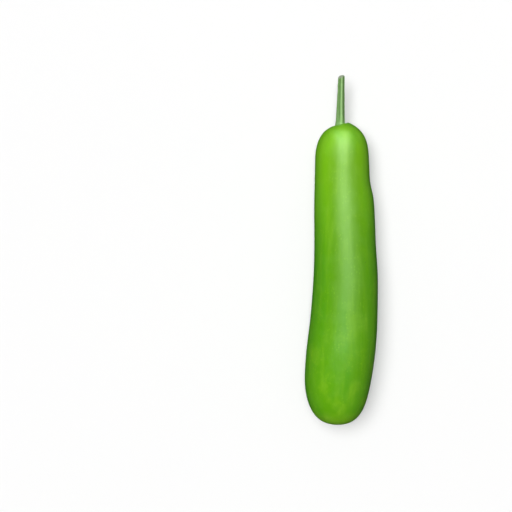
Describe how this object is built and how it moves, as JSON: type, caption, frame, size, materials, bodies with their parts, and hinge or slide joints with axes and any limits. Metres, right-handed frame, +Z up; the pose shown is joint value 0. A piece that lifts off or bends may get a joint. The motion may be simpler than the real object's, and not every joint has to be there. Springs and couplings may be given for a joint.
{
  "type": "bottle gourd",
  "caption": "long pale-green bottle gourd lying on its side, fuller at the blossom end, with a straight ridged stalk cut at a slant",
  "frame": {"origin": "on the surface that the gourd rests on, under the middle of its bounding box, stalk included", "axes": "+Z up from the resting surface; +Y along the gourd from the blossom end to the cut end of the stalk; +X to the right, seen from above with the stalk pointing away"},
  "size_m": [0.0858, 0.4098, 0.0808],
  "materials": {
    "rind": "satin",
    "stalk": "matte"
  },
  "bodies": {
    "root": {"fruit": "rind", "stem": "stalk"}
  },
  "joints": []
}
